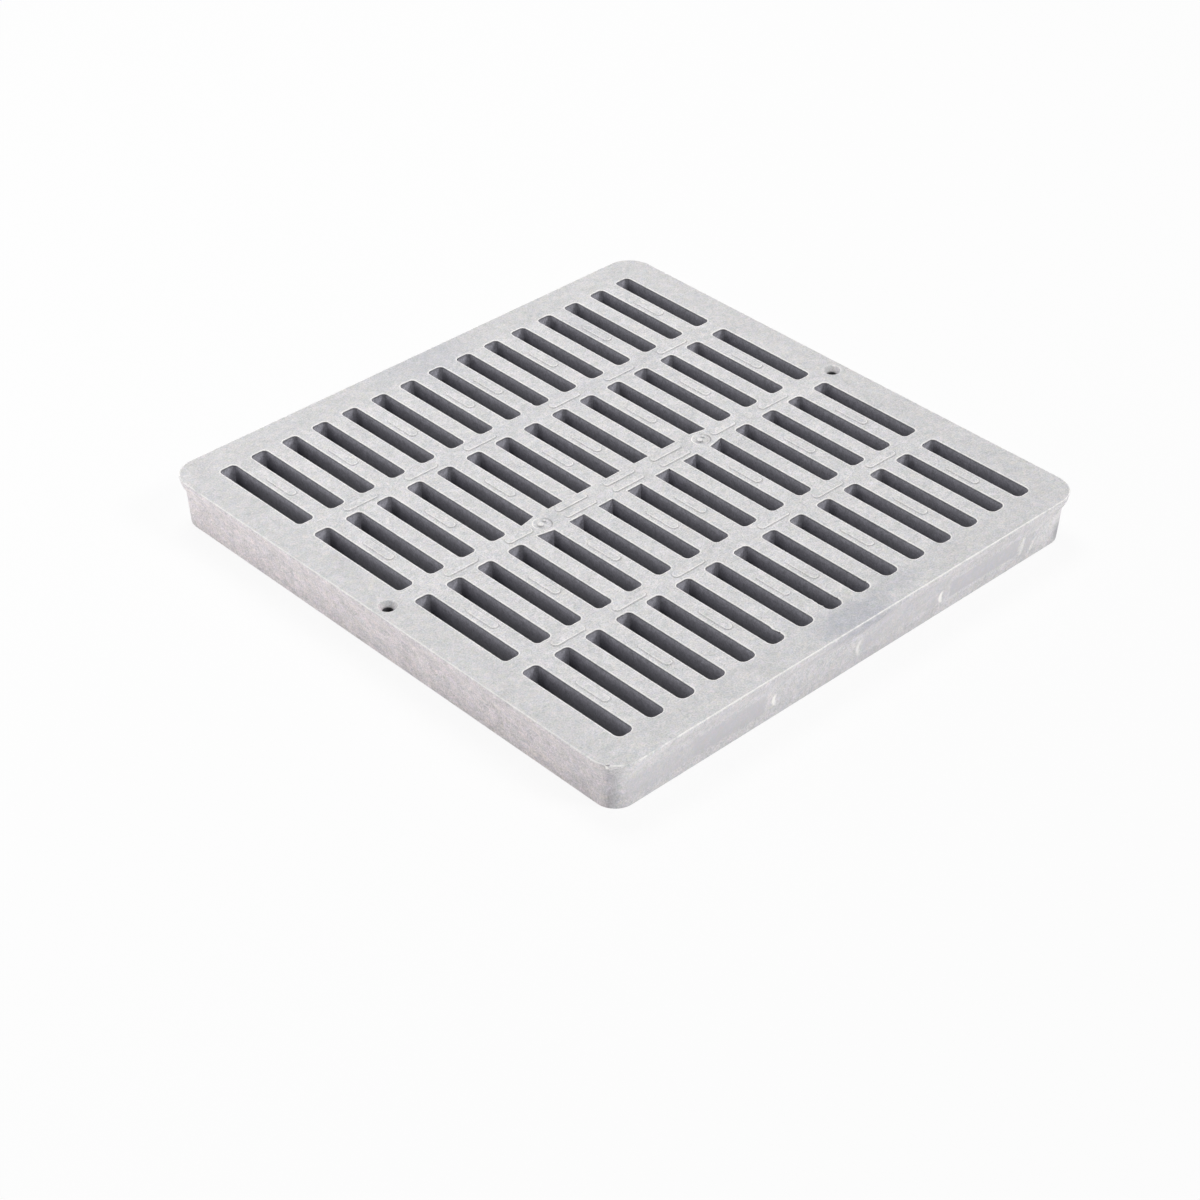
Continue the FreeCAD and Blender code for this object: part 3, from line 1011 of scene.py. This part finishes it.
def skin_material(finish, sizes):
    """Injection-moulded polyethylene, grey, matt.

    The mould's blasted steel leaves a grain that scatters the light, and the
    melt leaves swirling mottling, faint tints, and smoother, cooler patches
    where it froze last. Thin edges carry a painted highlight and creases
    painted shade. Painted shade also lies down the near corner, on a spot low
    on the front's right end, and towards the foot. The real grain is finer
    than a pixel of the picture, so it is drawn as coarse as it needs to show.
    """
    material = bpy.data.materials.new("moulded_polyethylene_skin")
    node = node_adder(material)
    place = millimetre_position(node)
    axes = node("SeparateXYZ", None, [place])
    height, edge = axes.outputs["Z"], sizes.side / 2
    sides = [side_share(node, axes, axis, sizes) for axis in "XY"]
    noise = skin_noises(node, finish, place, sides[0])
    base, polished = skin_colour(node, finish, sizes, place, axes, sides, noise.swirl)

    # Lightness: the grain is stronger on the bars and the rough side and missing on the polished
    # bands, and the bars and the thin veins are a little paler
    vein_width, vein_lift, bar_lift = 0.03, 0.07, 0.06
    spans = [node("Math", ABSOLUTE, [axes.outputs[axis]]) for axis in "XY"]
    on_bars = node("MapRange", SMOOTH, [node("Math", MAXIMUM, spans), edge - 12.0, edge - 22.0])
    contrast = 1.0
    for share, change in ((sides[0], 0.5), (on_bars, 0.35), (polished, -1.0)):
        contrast = node("Math", MULTIPLY_ADD, [share, change, contrast])
    gains = ((noise.grain, 0.85), (noise.mottle, 0.52), (noise.swirl, 0.4))
    spread = -sum(gain for _, gain in gains) / 2
    for field, gain in gains:
        spread = node("Math", MULTIPLY_ADD, [field, gain, spread])
    off_vein = node("Math", ABSOLUTE, [node("Math", SUBTRACT, [noise.flow, 0.5])])
    vein = node("MapRange", SMOOTH, [off_vein, vein_width, 0.0, 1.0, 1 + vein_lift])
    level = node("Math", MULTIPLY_ADD, [on_bars, bar_lift, vein])
    tone = node("Math", MULTIPLY_ADD, [spread, contrast, level])

    # Painted shade in the creases, and painted shade on the outer faces towards the foot
    crease_tone, foot_shade_share = 0.55, 0.06
    pale = node("Attribute", {"attribute_name": PAINTED_EDGE_LIGHT}).outputs["Fac"]
    nicked = node("MapRange", SMOOTH, [noise.mottle, 0.34, 0.5, 0.6])
    crease = node("MapRange", None, [node("Math", MULTIPLY, [pale, nicked]), -1.0, 0.0, crease_tone])
    foot_shade = node("MapRange", SMOOTH, [height, 12.0, 1.0, 0.0, foot_shade_share])
    foot_shade = node("Math", MULTIPLY, [foot_shade, combined(node, CLAMPED_ADD, sides)])
    tone = node("Math", MULTIPLY, [tone, node("Math", SUBTRACT, [crease, foot_shade])])

    tint_gain = Vector((0.24, 0.1, 0.32))
    centre = Vector((1, 1, 1)) - tint_gain / 2
    tint = node("VectorMath", MULTIPLY_ADD, [noise.mottle.outputs["Color"], tint_gain, centre])
    toned = node("VectorMath", SCALE, [node("VectorMath", MULTIPLY, [base, tint]), tone])

    # Painted highlights along the edges, nicked all along and nearly lost round the rim's corners
    corners = node("MapRange", SMOOTH, [node("Math", MINIMUM, spans), edge - 38.0, edge - 24.0, 0.0, 0.6])
    lost = node("Math", MULTIPLY, [corners, node("Math", SUBTRACT, [1.0, on_bars])])
    broken = node("MapRange", SMOOTH, [noise.flow, 0.36, 0.6, node("Math", SUBTRACT, [0.7, lost])])
    off_left = node("MapRange", SMOOTH, [axes.outputs["X"], 1.5 - edge, 3.0 - edge, 0.65])
    pale = combined(node, MULTIPLY, [pale, node("Math", MULTIPLY, [broken, nicked]), off_left])
    coloured = node("Mix", COLOURS, [pale, toned, finish.edge])
    relief = node("Math", MULTIPLY_ADD, [noise.mottle, 1.2, noise.grain])
    add_plastic(node, coloured, 0.58, relief, finish.grain_depth)
    return material


def corner_light(node, sizes, axes, end_wall):
    """Gain of the slots' walls: painted shade on the long wall beside a slot's far end, and painted light on
    that end.
    """
    last_end = sizes.side / 2 - sizes.end_margin
    beyond = last_end + 1.0
    repeated = node("Math", WRAP, [axes.outputs["Y"], beyond, beyond - row_length(sizes) - sizes.crossbar])
    from_end = node("Math", SUBTRACT, [last_end, repeated])
    past_round = node("MapRange", SMOOTH, [from_end, 0.7, 1.9])
    close = node("MapRange", SMOOTH, [from_end, 7.5, 2.8])
    long_wall = node("Math", SUBTRACT, [1.0, end_wall])
    dip = combined(node, MULTIPLY, [past_round, close, long_wall])
    lift = node("Math", MULTIPLY, [end_wall, 0.24])
    lift = node("Math", MULTIPLY_ADD, [dip, -0.32, lift])
    sunk = node("MapRange", SMOOTH, [axes.outputs["Z"], sizes.top - 1.0, sizes.top - 5.0])
    return node("Math", MULTIPLY_ADD, [lift, sunk, 1.0])


def wall_material(finish, sizes):
    """The same polyethylene on the slots' walls.

    The tall cores were drawn out along the walls and left a fine grain that
    is a little longer upright. The walls carry painted shade under the rim,
    over the middle of their depth and in the corners, as in the shade of a
    narrow slot, painted light on the slots' far ends, and keep the skin's
    colour below.
    """
    material = bpy.data.materials.new("moulded_polyethylene_slot_wall")
    node = node_adder(material)
    place = millimetre_position(node)
    axes = node("SeparateXYZ", None, [place])
    height, top = axes.outputs["Z"], sizes.top
    drag_width, drag_length, drag_depth = 0.6, 0.9, 0.04
    stretched = node("Mapping", None, {
        "Vector": place, "Scale": (1 / drag_width, 1 / drag_width, 1 / drag_length)})
    drag = node("TexNoise", None, {"Vector": stretched, "Scale": 1.0, "Detail": 4.0, "Roughness": 0.6})
    mottle = node("TexNoise", None, {
        "Vector": place, "Scale": 1 / finish.mottle, "Detail": 4.0, "Roughness": 0.95})

    bearing = node("SeparateXYZ", None, [node("NewGeometry").outputs["True Normal"]])
    end_wall = node("MapRange", SMOOTH, [bearing.outputs["Y"], -0.5, -0.95])
    deep_at = node("MapRange", None, [end_wall, 0.0, 1.0, top - 12.5, top - 32.0])
    upper = node("MapRange", SMOOTH, [height, top - 0.8, deep_at])
    lower = node("MapRange", SMOOTH, [height, top - 15.0, 3.0])
    shaded = node("Mix", COLOURS, [upper, finish.wall, finish.painted_wall_shade])
    whole = node("Mix", COLOURS, [lower, shaded, finish.skin])

    drag_tone = node("MapRange", None, [drag, 0.3, 0.7, 0.76, 1.24])
    broad_tone = node("MapRange", None, [mottle, 0.3, 0.7, 0.7, 1.3])
    # The mesh's painted light gives painted shade just under each slot's rim and down the screw bores
    pale = node("Attribute", {"attribute_name": PAINTED_EDGE_LIGHT}).outputs["Fac"]
    shade = node("MapRange", None, [pale, -1.0, 0.0, 0.05])
    slant = node("Math", MULTIPLY, [bearing.outputs["X"], bearing.outputs["Y"]])
    slant = node("Math", ABSOLUTE, [slant])
    wall_corner_shade = node("MapRange", SMOOTH, [slant, 0.1, 0.45, 1.0, 0.73])
    light = corner_light(node, sizes, axes, end_wall)
    tone = combined(node, MULTIPLY, [drag_tone, broad_tone, shade, wall_corner_shade, light])
    toned = node("VectorMath", SCALE, [whole, tone])
    add_plastic(node, toned, 0.6, drag, drag_depth)
    return material


class GRATE_OT_moulding(bpy.types.Operator):
    """Model the grate's one moulding and give it its polyethylene finish"""

    bl_idname = "grate.moulding"
    bl_label = "Moulding"

    def execute(self, context):
        sizes = values_of(context.scene.grate_sizes)
        finish = values_of(context.scene.grate_finish)
        piece = add_object(PIECE, moulding_mesh(sizes))
        piece.data.materials.append(skin_material(finish, sizes))
        piece.data.materials.append(wall_material(finish, sizes))
        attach(piece, "root")
        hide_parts(NODE)
        return {"FINISHED"}


# Camera of the photograph, in metres
CAMERA_PLACE = Vector((-0.73786, -0.75060, 0.73464))
CAMERA_AIM = Vector((-0.07137, -0.05925, 0.0258))
CAMERA_ROLL = math.radians(0.51)
LENS, SENSOR = 83.17, 36.0


def add_camera():
    """Camera at the photograph's place and angle."""
    data = bpy.data.cameras.new("camera")
    data.lens = LENS
    data.sensor_width = SENSOR
    camera = add_object("camera", data)
    turn = (CAMERA_AIM - CAMERA_PLACE).to_track_quat("-Z", "Y").to_matrix()
    roll = Matrix.Rotation(CAMERA_ROLL, 3, "Z")
    camera.matrix_world = Matrix.Translation(CAMERA_PLACE) @ (turn @ roll).to_4x4()
    bpy.context.scene.camera = camera


def seen_directly(node):
    """1 for rays from the camera and for what gloss or glass shows, and 0 for light on the object."""
    rays = node("LightPath").outputs
    return combined(node, MAXIMUM, [
        rays["Is Camera Ray"], rays["Is Glossy Ray"], rays["Is Transmission Ray"]])


def add_floor(studio):
    """White floor that looks like the background and keeps a faint shadow."""
    half_width = 3.0
    gap = 0.00005
    whiteness = 0.9
    blank = bmesh.new()
    bmesh.ops.create_grid(blank, x_segments=1, y_segments=1, size=half_width)
    bmesh.ops.translate(blank, vec=(0, 0, -gap), verts=blank.verts[:])
    mesh = bpy.data.meshes.new("floor")
    blank.to_mesh(mesh)
    blank.free()
    floor = add_object("floor", mesh)
    material = bpy.data.materials.new("white_studio_floor")
    node = node_adder(material)
    lit = node("BsdfDiffuse", None, {"Color": (*studio.floor, 1.0)})
    white = node("Emission", None, {"Color": WHITE, "Strength": 1.0})
    share = node("Math", MULTIPLY, [seen_directly(node), whiteness])
    node("OutputMaterial", None, [node("MixShader", None, [share, lit, white])])
    mesh.materials.append(material)


def add_world(studio):
    """Dim room with a band of light round the horizon, and white where it is seen."""
    band_top = math.sin(math.radians(6))
    world = bpy.data.worlds.new("studio")
    node = node_adder(world)
    axes = node("SeparateXYZ", None, [node("TexCoord").outputs["Generated"]])
    steepness = node("Math", ABSOLUTE, [axes.outputs["Z"]])
    level = node("MapRange", SMOOTH, [
        steepness, band_top * 0.6, band_top * 1.4, studio.horizon, studio.ambient])
    room = node("Background", None, {"Color": WHITE, "Strength": level})
    white = node("Background", None, {"Color": WHITE, "Strength": 1.0})
    node("OutputWorld", None, [node("MixShader", None, [seen_directly(node), room, white])])
    bpy.context.scene.world = world


def add_lamp(name, data, way):
    """Lamp that shines against a way, which leads from what it lights to the lamp."""
    lamp = add_object(name, data)
    lamp.rotation_euler = Vector(way).to_track_quat("Z", "Y").to_euler()
    return lamp


def add_softbox(name, place, aim, width, power):
    """Round softbox that shines from its place towards its aim, and isn't seen itself."""
    data = bpy.data.lights.new(name, "AREA")
    data.shape = "DISK"
    data.size = width
    data.energy = power
    lamp = add_lamp(name, data, Vector(place) - Vector(aim))
    lamp.location = place
    lamp.visible_camera = False


def add_front_light(studio):
    """Soft light from the front right, which reaches the far ends of the slots."""
    azimuth, elevation, width = math.radians(30), math.radians(40), math.radians(18)
    level = math.cos(elevation)
    data = bpy.data.lights.new("front_light", "SUN")
    data.energy = math.pi * studio.front
    data.angle = width
    add_lamp("front_light", data, (
        math.sin(azimuth) * level, -math.cos(azimuth) * level, math.sin(elevation)))


class GRATE_OT_stage(bpy.types.Operator):
    """Set up the floor, the studio light and the camera"""

    bl_idname = "grate.stage"
    bl_label = "Stage"

    def execute(self, context):
        studio = context.scene.grate_studio
        add_floor(studio)
        add_world(studio)
        add_softbox("overhead_softbox", (0.2, 0.55, 1.4), (0.0, 0.0, 0.0), 0.7, studio.overhead)
        add_softbox("side_softbox", (-0.75, 0.45, 0.17), (-0.15, 0.0, 0.01), 0.35, studio.side)
        add_front_light(studio)
        add_camera()
        context.scene.view_settings.view_transform = "Standard"
        return {"FINISHED"}


class GRATE_PT_panel(bpy.types.Panel):
    """Panel that builds the grate step by step"""

    bl_idname = "GRATE_PT_panel"
    bl_label = "Gully Grate"
    bl_space_type = "VIEW_3D"
    bl_region_type = "UI"
    bl_category = "Gully Grate"

    def draw(self, context):
        layout = self.layout
        for operator in OPERATORS:
            layout.operator(operator.bl_idname)
        for kept in GROUPS:
            group = getattr(context.scene, kept)
            box = layout.box()
            for name in group.__annotations__:
                box.prop(group, name)


GROUPS = {"grate_sizes": GrateSizes, "grate_finish": GrateFinish, "grate_studio": StudioSettings}
OPERATORS = (GRATE_OT_moulding, GRATE_OT_stage)


def register():
    """Registers the classes and keeps the settings on the scene."""
    for name, group in GROUPS.items():
        bpy.utils.register_class(group)
        setattr(bpy.types.Scene, name, PointerProperty(type=group))
    for kind in (*OPERATORS, GRATE_PT_panel):
        bpy.utils.register_class(kind)


def unregister():
    """Takes the classes and the settings away again."""
    for kind in (GRATE_PT_panel, *reversed(OPERATORS)):
        bpy.utils.unregister_class(kind)
    for name, group in reversed(GROUPS.items()):
        delattr(bpy.types.Scene, name)
        bpy.utils.unregister_class(group)


def main():
    register()
    bpy.ops.grate.moulding()
    bpy.ops.grate.stage()


if __name__ == "__main__":
    main()
